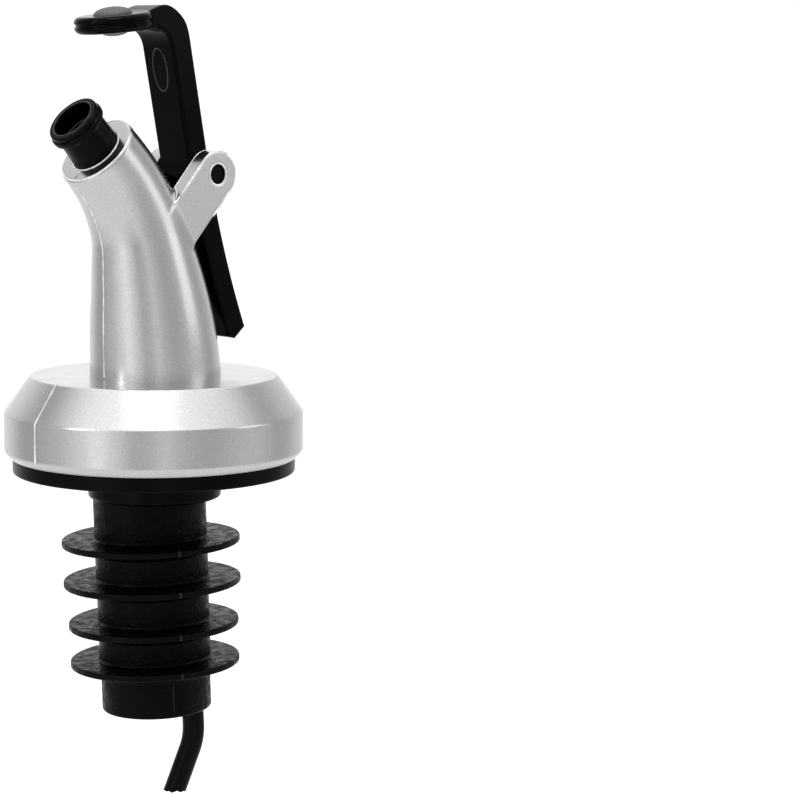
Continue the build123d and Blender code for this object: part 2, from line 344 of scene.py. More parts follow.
def outline_normals(outline, crisp=math.radians(35)):
    """Normals at the start and end of each outline step; long steps stay flat, crisp turns stay split."""
    steps = np.roll(outline, -1, 0) - outline
    lengths = np.maximum(np.linalg.norm(steps, axis=1), 1e-9)
    flat = np.stack([steps[:, 1], -steps[:, 0]], axis=1) / lengths[:, None]
    shared = flat * lengths[:, None] + np.roll(flat * lengths[:, None], 1, 0)
    shared /= np.maximum(np.linalg.norm(shared, axis=1), 1e-9)[:, None]
    soft = (flat * np.roll(flat, 1, 0)).sum(1) > math.cos(crisp)
    starts = np.where(soft[:, None], shared, flat)
    ends = np.where(np.roll(soft, -1)[:, None], np.roll(shared, -1, 0), flat)
    return starts, ends


def sharpen(obj, degrees):
    """Edges with more than that turn between their faces stay crisp."""
    obj.data.set_sharp_from_angle(angle=math.radians(degrees))


def smooth_max(a, b, k):
    """Larger of two distances, the edge between them rounded over about k."""
    h = np.maximum(k - np.abs(a - b), 0) / k
    return np.maximum(a, b) + h * h * k / 4


def smooth_min(a, b, k):
    """Smaller of two distances, the crease between them filled over about k."""
    return -smooth_max(-a, -b, k)


CORNERS = np.array([(i, j, k) for i in (0, 1) for j in (0, 1) for k in (0, 1)])
CELL_EDGES = [(a, b) for a in range(8) for b in range(a + 1, 8) if np.abs(CORNERS[a] - CORNERS[b]).sum() == 1]


# Points of a surface net are moved onto the surface in a few limited steps.
NET_PASSES = 3
NET_LONGEST_MOVE = 0.4
NET_LEAST_SLOPE = 0.05


def surface_net(name, field, low, high, step):
    """Mesh of the surface where field(x, y, z) is zero, inside where it is negative.

    One point stands in each cell that the surface crosses, and is then moved onto the surface."""
    axes = [np.arange(low[i], high[i] + step, step) for i in range(3)]
    x, y, z = np.meshgrid(*axes, indexing="ij", sparse=True)
    value = np.ascontiguousarray(np.broadcast_to(field(x, y, z), [len(a) for a in axes]))
    inside = value < 0
    sizes = np.array(value.shape) - 1
    count = sum(inside[i:i + sizes[0], j:j + sizes[1], k:k + sizes[2]].astype(np.int8) for i, j, k in CORNERS)
    crossed = (count > 0) & (count < 8)
    cells = np.argwhere(crossed)
    index = np.full(crossed.shape, -1, np.int64)
    index[crossed] = np.arange(len(cells))
    total = np.zeros((len(cells), 3))
    hits = np.zeros(len(cells))
    for a, b in CELL_EDGES:
        va = value[tuple((cells + CORNERS[a]).T)]
        vb = value[tuple((cells + CORNERS[b]).T)]
        cross = (va < 0) != (vb < 0)
        t = np.where(cross, va / np.where(cross, va - vb, 1), 0)
        total += np.where(cross[:, None], CORNERS[a] + t[:, None] * (CORNERS[b] - CORNERS[a]), 0)
        hits += cross
    points = np.array(low) + step * (cells + total / hits[:, None])
    quads = []
    for axis in range(3):
        u, v = (axis + 1) % 3, (axis + 2) % 3
        first = np.moveaxis(inside, axis, 0)[:-1]
        second = np.moveaxis(inside, axis, 0)[1:]
        edge = np.moveaxis(first != second, 0, axis)
        sign = np.moveaxis(first, 0, axis)
        at = np.argwhere(edge)
        at = at[(at[:, u] > 0) & (at[:, v] > 0) & (at[:, u] < sizes[u]) & (at[:, v] < sizes[v])]
        du = np.eye(3, dtype=int)[u]
        dv = np.eye(3, dtype=int)[v]
        quad = np.stack([index[tuple((at - d).T)] for d in (du + dv, dv, 0 * du, du)], axis=1)
        flip = ~sign[tuple(at.T)]
        quad[flip] = quad[flip][:, ::-1]
        quads.append(quad)
    longest = NET_LONGEST_MOVE * step
    for repeat in range(NET_PASSES):
        level, slope = value_and_slope(field, points)
        size = np.maximum((slope ** 2).sum(1), NET_LEAST_SLOPE)
        move = slope * (level / size)[:, None]
        points = points - np.clip(move, -longest, longest)
    level, slope = value_and_slope(field, points)
    normals = slope / np.maximum(np.linalg.norm(slope, axis=1), 1e-9)[:, None]
    return add_object(name, points, np.concatenate(quads).tolist(), normals)


def value_and_slope(field, points, reach=0.02):
    """The field at each point, and its slope from a step of reach each way."""
    level = field(points[:, 0], points[:, 1], points[:, 2])
    slope = np.zeros_like(points)
    for axis in range(3):
        offset = np.zeros(3)
        offset[axis] = reach
        ahead, back = points + offset, points - offset
        slope[:, axis] = (field(*ahead.T) - field(*back.T)) / (2 * reach)
    return level, slope


# ---------------------------------------------------------------- shell

class Spline:
    """Smooth line through rows of numbers, spaced by the distance of the first two."""

    def __init__(self, rows, first_slope, last_slope):
        self.points = np.array(rows, float)
        self.gaps = np.linalg.norm(np.diff(self.points[:, :2], axis=0), axis=1)
        gaps = self.gaps[:, None]
        steps = np.diff(self.points, axis=0) / gaps
        inner = (steps[:-1] * gaps[1:] + steps[1:] * gaps[:-1]) / (gaps[1:] + gaps[:-1])
        self.slopes = np.vstack([first_slope, inner, last_slope])

    def at(self, s, order=0):
        """Value or derivative at s, which counts the rows; the line goes on straight past its ends."""
        inside = np.clip(s, 0, len(self.gaps))
        i = np.minimum(inside.astype(int), len(self.gaps) - 1)
        t = (inside - i)[..., None]
        gap = self.gaps[i][..., None]
        p, q = self.points[i], self.points[i + 1]
        m, n = self.slopes[i] * gap, self.slopes[i + 1] * gap
        if order == 0:
            value = (2 * t ** 3 - 3 * t ** 2 + 1) * p + (t ** 3 - 2 * t ** 2 + t) * m
            value += (3 * t ** 2 - 2 * t ** 3) * q + (t ** 3 - t ** 2) * n
            return value + (s - inside)[..., None] * np.where(s[..., None] < 0, m, n)
        if order == 1:
            return (6 * t ** 2 - 6 * t) * (p - q) + (3 * t ** 2 - 4 * t + 1) * m + (3 * t ** 2 - 2 * t) * n
        bend = (12 * t - 6) * (p - q) + (6 * t - 4) * m + (6 * t - 2) * n
        return np.where((s == inside)[..., None], bend, 0)

    def sampled(self, steps):
        return self.at(np.linspace(0, len(self.gaps), len(self.gaps) * steps + 1))


SPOUT_DIR = (-math.sin(SPOUT_TILT), math.cos(SPOUT_TILT))
MOUTH = NECK_STATIONS[-1][:2]
NECK_LINE = Spline(NECK_STATIONS, (0, 1, -0.02), (*SPOUT_DIR, -0.05))


def neck_line_at(x, z):
    """Squared distance to the neck's centre line in the symmetry plane, and the neck's radius there."""
    x, z = np.broadcast_arrays(x, z)
    best = np.full(x.shape, 1e9)
    s = np.zeros(x.shape)
    for guess in np.linspace(-0.5, len(NECK_STATIONS) - 0.3, 40):
        px, pz = NECK_LINE.at(np.array(guess))[:2]
        away = (x - px) ** 2 + (z - pz) ** 2
        s = np.where(away < best, guess, s)
        best = np.minimum(best, away)
    for repeat in range(4):
        place, slope, bend = (NECK_LINE.at(s, order) for order in range(3))
        dx, dz = place[..., 0] - x, place[..., 1] - z
        level = dx * slope[..., 0] + dz * slope[..., 1]
        rate = slope[..., 0] ** 2 + slope[..., 1] ** 2 + dx * bend[..., 0] + dz * bend[..., 1]
        s = s - np.clip(level / np.maximum(rate, 0.5), -0.1, 0.1)
    place = NECK_LINE.at(s)
    return (place[..., 0] - x) ** 2 + (place[..., 1] - z) ** 2, place[..., 2]


# The ring face leans a little further than the spout's own direction.
RING_TILT = math.radians(46)
RING_DIR = (-math.sin(RING_TILT), math.cos(RING_TILT))


def ear_field(x, y, z):
    """Round-ended plate at each side, with softened edges."""
    dx, dz = math.sin(EAR_TILT), math.cos(EAR_TILT)
    bx, bz = PIVOT[0] - EAR_LENGTH * dx, PIVOT[1] - EAR_LENGTH * dz
    t = np.clip((x - bx) * dx + (z - bz) * dz, 0, EAR_LENGTH)
    flat = np.hypot(x - bx - t * dx, z - bz - t * dz) - EAR_R + EAR_EDGE_R
    thick = np.abs(np.abs(y) - EAR_MIDDLE_Y) - EAR_HALF_THICKNESS + EAR_EDGE_R
    outside = np.hypot(np.maximum(flat, 0), np.maximum(thick, 0))
    return outside + np.minimum(np.maximum(flat, thick), 0) - EAR_EDGE_R


def neck_field(x, y, z):
    """Hollow neck with the ears, cut off at the ring's face, with the liner's hole and the pin's holes."""
    away, radius = neck_line_at(x, z)
    around = np.sqrt(away + y * y)
    body = smooth_min(around - radius, ear_field(x, y, z), EAR_BLEND)
    ahead = (x - MOUTH[0]) * RING_DIR[0] + (z - MOUTH[1]) * RING_DIR[1]
    from_axis = np.hypot((x - MOUTH[0]) * SPOUT_DIR[1] - (z - MOUTH[1]) * SPOUT_DIR[0], y)
    body = smooth_max(body, ahead, RING_EDGE_BLEND)
    hollow = np.maximum(around - radius + SHELL_WALL, ahead + MOUTH_END_WALL)
    body = np.maximum(body, -hollow)
    hole_floor = -ahead - MOUTH_END_WALL - RING_HOLE_OVERRUN
    ring_hole = np.maximum(from_axis - LINER_R - RING_HOLE_CLEARANCE, hole_floor)
    body = smooth_max(body, -ring_hole, RING_HOLE_BLEND)
    pin_hole = np.hypot(x - PIVOT[0], z - PIVOT[1]) - PIN_HOLE_R
    body = smooth_max(body, -pin_hole, PIN_HOLE_BLEND)
    return np.maximum(body, COLLAR_TOP_Z - NECK_BELOW_COLLAR_TOP - z)


def make_shell(material):
    neck = surface_net("neck_and_ears", neck_field, *NECK_BOX, NECK_CELL)
    neck_bore_r = NECK_STATIONS[0][2] - SHELL_WALL
    collar = lathe("collar", rounded([
        (CAVITY_R, COLLAR_BOTTOM_Z, 0.1),
        (COLLAR_BOTTOM_R, COLLAR_BOTTOM_Z, 0.5),
        (COLLAR_R, COLLAR_BOTTOM_Z + COLLAR_FOOT_RISE, 0.8),
        (COLLAR_R, COLLAR_WALL_Z, 0.7),
        (COLLAR_TOP_R, COLLAR_TOP_Z, 0.4),
        (neck_bore_r, COLLAR_TOP_Z, 0),
        (neck_bore_r, COLLAR_TOP_Z - COLLAR_TOP_WALL, 0),
        (COLLAR_TOP_R - 1, COLLAR_TOP_Z - COLLAR_TOP_WALL, 0),
        (CAVITY_R, COLLAR_WALL_Z - 0.4, 0),
    ]), columns=192)
    seams = make_parting_lines()
    rims = make_pin_hole_rims()
    for piece in (neck, collar):
        dress(piece, "spout", material)
    # The seams, pin-hole rims, ear lines and ring lines get a lighter skin that paints their highlights.
    highlight_material = painted_highlight_skin()
    for piece in (*seams, *rims, *make_ear_lines(), *make_ring_lines()):
        dress(piece, "spout", highlight_material)
    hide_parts("spout_shell")


def make_pin_hole_rims():
    """Bead round the pin's hole on the outside of each ear, skinned as a painted highlight."""
    turns = full_turn(40)
    x = PIVOT[0] + (PIN_HOLE_R + PIN_RIM_OUT) * np.cos(turns)
    z = PIVOT[1] + (PIN_HOLE_R + PIN_RIM_OUT) * np.sin(turns)
    rims = []
    for word, side in (("near", -1), ("far", 1)):
        y = np.full(len(turns), side * (EAR_MIDDLE_Y + EAR_HALF_THICKNESS - PIN_RIM_INSET))
        rims.append(wire("pin_hole_rim_" + word, np.stack([x, y, z], 1), PIN_RIM_BEAD_R, closed=True))
    return rims


def make_ear_lines():
    """Fine beads along the rounded edges of the ears, skinned as painted highlights."""
    along = np.array((math.sin(EAR_TILT), math.cos(EAR_TILT)))
    side = np.array((-along[1], along[0]))
    reach = EAR_R - EAR_BEAD_INSET
    inner_y = EAR_MIDDLE_Y - EAR_HALF_THICKNESS + EAR_BEAD_INSET
    outer_y = EAR_MIDDLE_Y + EAR_HALF_THICKNESS - EAR_BEAD_INSET
    tip = [np.array(PIVOT) + reach * (math.cos(t) * side + math.sin(t) * along)
           for t in np.linspace(0, math.pi, 30)]
    front = [np.array(PIVOT) + reach * side - along * k
             for k in np.linspace(EAR_FRONT_LINE_END, EAR_LINE_START, 8)]
    lower = [np.array(PIVOT) - reach * side - along * k
             for k in np.linspace(EAR_LINE_START, EAR_LOWER_LINE_END, 6)]
    lines = []
    for word, sign in (("near", -1), ("far", 1)):
        outer = [(x, sign * outer_y, z) for x, z in front + tip + lower]
        lines.append(wire(word + "_ear_outer_line", outer, EAR_OUTER_BEAD_R))
        inner = [(x, sign * inner_y, z) for x, z in front + tip[:18]]
        lines.append(wire(word + "_ear_inner_line", inner, EAR_INNER_BEAD_R))
    return lines


def make_ring_lines():
    """Bead round the ring's hole, and another round the ring's rim, skinned as painted highlights."""
    across = np.array((RING_DIR[1], 0, -RING_DIR[0]))
    level = np.array((0, 1, 0))
    centre = np.array((MOUTH[0], 0, MOUTH[1]))
    circle = round_about(full_turn(90), across, level)
    hole_path = centre + (LINER_R + RING_HOLE_LINE_OUT) * circle
    hole = wire("ring_hole_line", hole_path, RING_HOLE_BEAD_R, closed=True)
    below = centre - RING_RIM_DROP * np.array((RING_DIR[0], 0, RING_DIR[1]))
    rim_path = below + (NECK_STATIONS[-1][2] - RING_RIM_INSET) * circle
    rim = wire("ring_rim_line", rim_path, RING_RIM_BEAD_R, closed=True)
    return hole, rim


def make_parting_lines():
    """Fine raised lines where the mould's halves met, down the pouring side."""
    s = np.linspace(0, len(NECK_LINE.gaps), 90)
    place, slope = NECK_LINE.at(s), NECK_LINE.at(s, 1)
    way = slope[:, :2] / np.linalg.norm(slope[:, :2], axis=1)[:, None]
    out = np.stack([-way[:, 1], way[:, 0]], axis=1)
    spots = place[:, :2] + place[:, 2:] * out
    for repeat in range(4):
        spots = spots - out * neck_field(spots[:, 0], np.zeros(len(spots)), spots[:, 1])[:, None]
    ahead = (spots - MOUTH) @ RING_DIR
    spots = spots[(ahead < -PARTING_END_GAP) & (spots[:, 1] > COLLAR_TOP_Z)]
    neck = wire("neck_parting_line", [(x, 0, z) for x, z in spots], NECK_PARTING_BEAD_R)
    across = np.array((-RING_DIR[1], RING_DIR[0]))
    face = [np.array(MOUTH) + across * r for r in (LINER_R + 0.2, NECK_STATIONS[-1][2] - 0.5)]
    lift = np.array(RING_DIR) * 0.03
    ring = wire("ring_parting_line", [(x, 0, z) for x, z in face + lift], PARTING_BEAD_R)
    outline = rounded([(COLLAR_TOP_R - 0.3, COLLAR_TOP_Z, 0), (COLLAR_TOP_R, COLLAR_TOP_Z, 0.4),
                       (COLLAR_R, COLLAR_WALL_Z, 0.7), (COLLAR_R, COLLAR_BOTTOM_Z + 1.1, 0)], closed=False)
    collar = wire("collar_parting_line", [(-r, 0, z) for r, z in outline], PARTING_BEAD_R)
    return neck, ring, collar


# ---------------------------------------------------------------- black mouldings

# The lip's plane leans further than the tube, and the tube stands out a touch more.
LIP_SLANT = math.radians(4.5)
LIP_REACH = 0.12


def liner_frames():
    """Function giving the liner's centre and cross directions at a height along its path.

    Heights are z on the lower straight run, and go on by length through the bend and the mouth."""
    drop = LINER_BEND_R * (1 - math.cos(SPOUT_TILT))
    straight = (-MOUTH[0] - drop) / math.sin(SPOUT_TILT)
    bend_x = MOUTH[0] - straight * SPOUT_DIR[0]
    bend_z = MOUTH[1] - straight * SPOUT_DIR[1]
    low_z = bend_z - LINER_BEND_R * math.sin(SPOUT_TILT)
    arc = LINER_BEND_R * SPOUT_TILT
    side = np.array((0, 1, 0))

    def at(height):
        if height < low_z:
            return np.array((0, 0, height)), np.array((1, 0, 0)), side
        if height < low_z + arc:
            a = (height - low_z) / LINER_BEND_R
            centre = (-LINER_BEND_R * (1 - math.cos(a)), 0, low_z + LINER_BEND_R * math.sin(a))
            return np.array(centre), np.array((math.cos(a), 0, math.sin(a))), side
        over = height - low_z - arc
        centre = (bend_x + over * SPOUT_DIR[0], 0, bend_z + over * SPOUT_DIR[1])
        tilt = SPOUT_TILT + LIP_SLANT * min(max((over - straight) / MOUTH_LENGTH, 0), 1)
        return np.array(centre), np.array((math.cos(tilt), 0, math.sin(tilt))), side

    return at, low_z, low_z + arc, low_z + arc + straight


def make_liner(material, highlight_black):
    at, low, bent, ring = liner_frames()
    end = ring + MOUTH_LENGTH + LIP_REACH
    bend = list(np.linspace(low, bent, 14))
    up = [(LINER_R, h, 0) for h in bend]
    down = [(LINER_BORE_R, h, 0) for h in reversed(bend)]
    outline = rounded([
        (LINER_BORE_R, FOOT_BOTTOM_Z, 0),
        (FOOT_PLUG_R, FOOT_BOTTOM_Z, 0.5),
        (FOOT_PLUG_R, FOOT_SEAT_Z, 0),
        (FOOT_R, FOOT_SEAT_Z, 0),
        (FOOT_R, HOLD_DOWN_TOP_Z, 0),
        (HOLD_DOWN_INNER_R, HOLD_DOWN_TOP_Z, 0),
        (HOLD_DOWN_INNER_R, FOOT_TOP_Z, 0),
        (LINER_R, FOOT_TOP_Z, 0),
        *up,
        (LINER_R, ring + LINER_RING_STEP, 0.3),
        *[(radius, end - back, corner) for radius, back, corner in LIP_OUTLINE],
        (LIP_END_R, end, 0.35),
        (MOUTH_BORE_R, end, 0.2),
        (MOUTH_BORE_R, end - MOUTH_BORE_DEPTH, 0.1),
        (LINER_BORE_R, end - MOUTH_BORE_DEPTH, 0.15),
        *down,
    ])
    liner = lathe("pour_liner_tube", outline, at, 96)
    dress(liner, "spout", material)
    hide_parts("pour_liner")
    # Beads at the mouth's inner rim and inner step, in the lighter black, are painted highlights.
    lines = (("mouth_rim_line", MOUTH_RIM_LINE_R, end - MOUTH_RIM_LINE_DROP),
             ("mouth_step_line", MOUTH_STEP_LINE_R, end - MOUTH_BORE_DEPTH))
    for name, radius, height in lines:
        centre, across, side = at(height)
        path = centre + radius * round_about(full_turn(64), across, side)
        dress(wire(name, path, MOUTH_BEAD_R, closed=True), "spout", highlight_black)


def make_base_disc(material):
    hole_r = CORE_TOP_R + CORE_CLEARANCE
    rim_top_z = COLLAR_BOTTOM_Z - COLLAR_GAP
    disc = lathe("base_disc_moulding", rounded([
        (hole_r, BOSS_BOTTOM_Z, 0),
        (BOSS_R, BOSS_BOTTOM_Z, 0.45),
        (BOSS_R, SEAT_RELIEF, 0.25),
        (SEAT_INNER_R, SEAT_RELIEF, 0),
        (SEAT_INNER_R, 0, 0.1),
        (DISC_R, 0, 0.3),
        (DISC_R, rim_top_z, 0.15),
        (SPIGOT_OUTER_R, rim_top_z, 0),
        (SPIGOT_OUTER_R, SPIGOT_TOP_Z, 0.2),
        (SPIGOT_INNER_R, SPIGOT_TOP_Z, 0.2),
        (SPIGOT_INNER_R, COLLAR_BOTTOM_Z, 0),
        (hole_r, COLLAR_BOTTOM_Z, 0),
    ]), columns=160)
    dress(disc, "spout", material)
    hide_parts("base_disc")


def make_stopper(material, seam_highlight_black):
    """Hollow plug with tapered fins; its core is a little slimmer below the second fin."""
    step_z = FINS[-1][0] + FIN_EDGE / 2 - FIN_ROOT - CORE_STEP_DROP
    outline = [
        (STOPPER_BORE_R, FOOT_SEAT_Z, 0),
        (STOPPER_BORE_R, STOPPER_BOTTOM_Z, 0.15),
        (CORE_END_R, STOPPER_BOTTOM_Z, 0.35),
        (CORE_END_R, step_z, 0.1),
        (CORE_LOW_R, step_z, 0.1),
    ]
    for z, r in reversed(FINS):
        core = CORE_TOP_R if z >= FINS[1][0] else CORE_LOW_R
        below = CORE_TOP_R if z > FINS[1][0] else CORE_LOW_R
        top = z + FIN_EDGE / 2
        bottom = z - FIN_EDGE / 2
        outline.append((below, top - FIN_ROOT, 0.3))
        outline.append((r, bottom, 0.22))
        outline.append((r, top, 0.22))
        outline.append((core, top, 0.4))
    outline.append((CORE_TOP_R, COLLAR_BOTTOM_Z, 0))
    outline.append((FOOT_R, COLLAR_BOTTOM_Z, 0))
    outline.append((FOOT_R, FOOT_SEAT_Z, 0))
    stopper = lathe("finned_stopper", rounded(outline), columns=160)
    lean(stopper)
    dress(stopper, "spout", material)
    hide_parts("stopper")
    add_stopper_seam(seam_highlight_black)


def add_stopper_seam(material):
    """Small tabs where the mould's halves met on each fin's rim, and a fine line down the last stretch, in a
    lighter black that paints their highlights.
    """
    out = np.array((math.cos(STOPPER_SEAM), math.sin(STOPPER_SEAM), 0))
    pieces = []
    for number, (z, r) in enumerate(FINS):
        sunk, proud = (r - TAB_SINK) * out, (r + TAB_PROUD) * out
        path = [sunk + (0, 0, z + TAB_HALF_HEIGHT), proud + (0, 0, z), sunk + (0, 0, z - TAB_HALF_HEIGHT)]
        pieces.append(wire("fin_tab_%d" % (number + 1), path, TAB_BEAD_R))
    ends = (STOPPER_BOTTOM_Z + SEAM_END_GAP, FINS[-1][0] - FIN_ROOT)
    path = [(CORE_END_R - SEAM_SINK) * out + (0, 0, z) for z in ends]
    pieces.append(wire("stopper_seam_line", path, SEAM_BEAD_R))
    for piece in pieces:
        lean(piece)
        dress(piece, "spout", material)


def wire(name, path, radius, columns=8, closed=False):
    """Fine round bead along a nearly flat path of points."""
    path = np.array(path, float)
    if closed:
        along = np.roll(path, -1, 0) - np.roll(path, 1, 0)
    else:
        along = np.gradient(path, axis=0)
    along /= np.linalg.norm(along, axis=1)[:, None]
    turns = full_turn(columns)
    reference = np.linalg.svd(path - path.mean(0))[2][2]
    rings = []
    for point, way in zip(path, along):
        first = np.cross(way, reference)
        first /= np.linalg.norm(first)
        second = np.cross(way, first)
        rings.append(point + radius * round_about(turns, first, second))
    faces = ring_faces(len(rings), columns, closed)
    if not closed:
        last = (len(rings) - 1) * columns
        faces += [tuple(range(columns)), tuple(reversed(range(last, last + columns)))]
    obj = add_object(name, np.concatenate(rings), faces)
    flip_if_inside_out(obj)
    return obj


def lean(obj):
    """Turns a piece's mesh by LEAN about the level line through the stopper's axis at LEAN_Z."""
    axis = Vector((math.sin(LEAN_AZIMUTH), -math.cos(LEAN_AZIMUTH), 0))
    centre = Vector((0, 0, LEAN_Z * MM))
    turn = Matrix.Translation(centre) @ Matrix.Rotation(LEAN, 4, axis) @ Matrix.Translation(-centre)
    obj.data.transform(turn)


def make_breather(material):
    """Thin-walled tube, bent below the stopper, with a ragged slanting cut at its end."""
    a = BREATHER_AZIMUTH
    flat = np.array(rounded([(o, z, BREATHER_BEND_R) for o, z in BREATHER_ROUTE], closed=False, steps=14))
    centres = np.stack([flat[:, 0] * math.cos(a), flat[:, 0] * math.sin(a), flat[:, 1]], axis=1)
    along = np.gradient(centres, axis=0)
    along /= np.linalg.norm(along, axis=1)[:, None]
    side = np.array((-math.sin(a), math.cos(a), 0))
    columns = 40
    turns = full_turn(columns)
    random = np.random.default_rng(CUT_SEED)
    ragged = np.convolve(random.uniform(-1, 1, columns), (0.5, 1, 0.5), "same") * CUT_RAGGED
    rings = []
    last = len(centres) - 1
    for radius, order in ((BREATHER_R, range(last + 1)), (BREATHER_BORE_R, range(last, -1, -1))):
        for i in order:
            across = np.cross(side, along[i])
            ring = centres[i] + radius * round_about(turns, across, side)
            if i == last:
                slant = ((ring - centres[i]) @ CUT_WAY) * CUT_SLANT
                ring = ring + along[i] * (ragged - slant - CUT_BACK)[:, None]
            rings.append(ring)
    tube = add_object("breather_hose", np.concatenate(rings), ring_faces(len(rings), columns, True))
    flip_if_inside_out(tube)
    sharpen(tube, 50)
    lean(tube)
    dress(tube, "spout", material)
    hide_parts("breather_tube")


def flip_if_inside_out(obj):
    """Turns the faces round if the mesh's signed volume is negative."""
    mesh = obj.data
    volume = 0
    for f in mesh.polygons:
        first = mesh.vertices[f.vertices[0]].co
        for i in range(1, len(f.vertices) - 1):
            b = mesh.vertices[f.vertices[i]].co
            c = mesh.vertices[f.vertices[i + 1]].co
            volume += first.dot(b.cross(c))
    if volume < 0:
        mesh.flip_normals()


# ---------------------------------------------------------------- lever and pad

def arc_through(a, b, c, steps=24):
    """Points of the arc from a through b to c, without c."""
    ax, az = a
    bx, bz = b
    cx, cz = c
    d = 2 * (ax * (bz - cz) + bx * (cz - az) + cx * (az - bz))
    aa, bb, cc = ax ** 2 + az ** 2, bx ** 2 + bz ** 2, cx ** 2 + cz ** 2
    ux = (aa * (bz - cz) + bb * (cz - az) + cc * (az - bz)) / d
    uz = (aa * (cx - bx) + bb * (ax - cx) + cc * (bx - ax)) / d
    start = math.atan2(az - uz, ax - ux)
    turn = (math.atan2(cz - uz, cx - ux) - start + math.pi) % (2 * math.pi) - math.pi
    radius = math.hypot(ax - ux, az - uz)
    angles = [start + turn * k / steps for k in range(steps)]
    return [(ux + radius * math.cos(t), uz + radius * math.sin(t)) for t in angles]


def head_top_z(x):
    """Height of the head's sloping top face."""
    return HEAD_START[1] + (x - HEAD_START[0]) * math.tan(HEAD_SLOPE)


def lever_profile():
    """Closed side outline of the lever's bar in the symmetry plane, as points (x, z)."""
    start_x = HEAD_START[0]
    head = (-math.cos(HEAD_SLOPE), -math.sin(HEAD_SLOPE))
    points = arc_through((13.35, 18.25), (9.88, 28.35), (7.25, PIVOT[1]))
    points += [(7.25, PIVOT[1])]
    outer = [(4.05, 55.4), (3.0, 58.5), (0.35, 60.3), (start_x, head_top_z(start_x))]
    points += [tuple(p) for p in Spline(outer, (-0.19, 0.98), head).sampled(16)]
    points += [(PAD_X, head_top_z(PAD_X)), (PAD_X, head_top_z(PAD_X) - HEAD_HEIGHT)]
    inner = [(start_x, head_top_z(start_x) - HEAD_HEIGHT), (-1.6, 57.35), (-0.2, 56.65), ARM_FACE_HIGH]
    points += [tuple(p) for p in Spline(inner, (-head[0], -head[1]), (0.19, -0.98)).sampled(16)]
    points += arc_through(ARM_FACE_LOW, (6.65, 28.35), (10.0, 18.05))
    points += [(10.0, 18.05), (10.25, 17.05), (11.6, 16.75)]
    return points


LEVER_PROFILE = lever_profile()


def profile_distance(x, z):
    """Signed distance to the lever's side outline, negative inside."""
    shape = np.broadcast(x, z).shape
    best = np.full(shape, 1e9)
    crossings = np.zeros(shape, bool)
    points = LEVER_PROFILE
    for (ax, az), (bx, bz) in zip(points, points[1:] + points[:1]):
        dx, dz = bx - ax, bz - az
        t = np.clip(((x - ax) * dx + (z - az) * dz) / max(dx * dx + dz * dz, 1e-12), 0, 1)
        best = np.minimum(best, (x - ax - t * dx) ** 2 + (z - az - t * dz) ** 2)
        if dz != 0:
            spans = (z >= min(az, bz)) & (z < max(az, bz))
            crossings = crossings ^ (spans & (x < ax + (z - az) * dx / dz))
    return np.where(crossings, -1, 1) * np.sqrt(best)


def rounded_both(a, b, radius):
    """Solid inside both a and b, with the edge between them rounded by radius."""
    a, b = a + radius, b + radius
    return np.hypot(np.maximum(a, 0), np.maximum(b, 0)) + np.minimum(np.maximum(a, b), 0) - radius


def lever_field(x, y, z):
    """Bar, head disc with a groove round its edge, and hub, with the pin's hole."""
    beside = np.abs(y) - LEVER_HALF_WIDTH
    bar = rounded_both(profile_distance(x, z), beside, BAR_EDGE_R)
    above_top = (z - head_top_z(x)) * math.cos(HEAD_SLOPE)
    middle = above_top + HEAD_THICKNESS / 2
    along = (x - PAD_X) / math.cos(HEAD_SLOPE) + above_top * math.tan(HEAD_SLOPE)
    rim = np.hypot(along, y) - LEVER_DISC_R
    disc = rounded_both(rim, np.abs(middle) - HEAD_THICKNESS / 2, DISC_EDGE_R)
    disc = smooth_max(disc, GROOVE_R - np.hypot(rim, middle), GROOVE_BLEND)
    from_pin = np.hypot(x - PIVOT[0], z - PIVOT[1])
    hub = rounded_both(from_pin - LEVER_HUB_R, beside, HUB_EDGE_R)
    body = smooth_min(smooth_min(bar, disc, DISC_BLEND), hub, HUB_BLEND)
    return np.maximum(body, LEVER_PIN_R - from_pin)


def make_lever(material, highlight_black):
    lever = surface_net("lever_bar", lever_field, *LEVER_BOX, LEVER_CELL)
    ring = make_oval_ring()
    dress(lever, "lever", material)
    # The oval line's lighter black is a painted highlight.
    dress(ring, "lever", highlight_black)
    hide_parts("lever")


def make_oval_ring():
    """Fine raised oval line on the arm's face towards the mouth."""
    low, high = np.array(ARM_FACE_LOW), np.array(ARM_FACE_HIGH)
    along = (high - low) / np.linalg.norm(high - low)
    normal = np.array((-along[1], 0, along[0]))
    middle = low + along * (OVAL_Z - low[1]) / along[1]
    columns = 8
    turns = full_turn(columns)
    rings = []
    for t in full_turn(64):
        across = OVAL_HALF_WIDTH * math.cos(t)
        up = OVAL_HALF_HEIGHT * math.sin(t)
        centre = np.array((middle[0] + along[0] * up, across, middle[1] + along[1] * up))
        outward = np.array((math.cos(t) / OVAL_HALF_WIDTH, math.sin(t) / OVAL_HALF_HEIGHT))
        outward /= np.linalg.norm(outward)
        radial = np.array((along[0] * outward[1], outward[0], along[1] * outward[1]))
        rise = np.outer(np.sin(turns), normal) * OVAL_FLATTEN
        rings.append(centre + OVAL_BEAD_R * (np.outer(np.cos(turns), radial) + rise))
    ring = add_object("lever_oval_line", np.concatenate(rings), ring_faces(len(rings), columns, True))
    flip_if_inside_out(ring)
    return ring


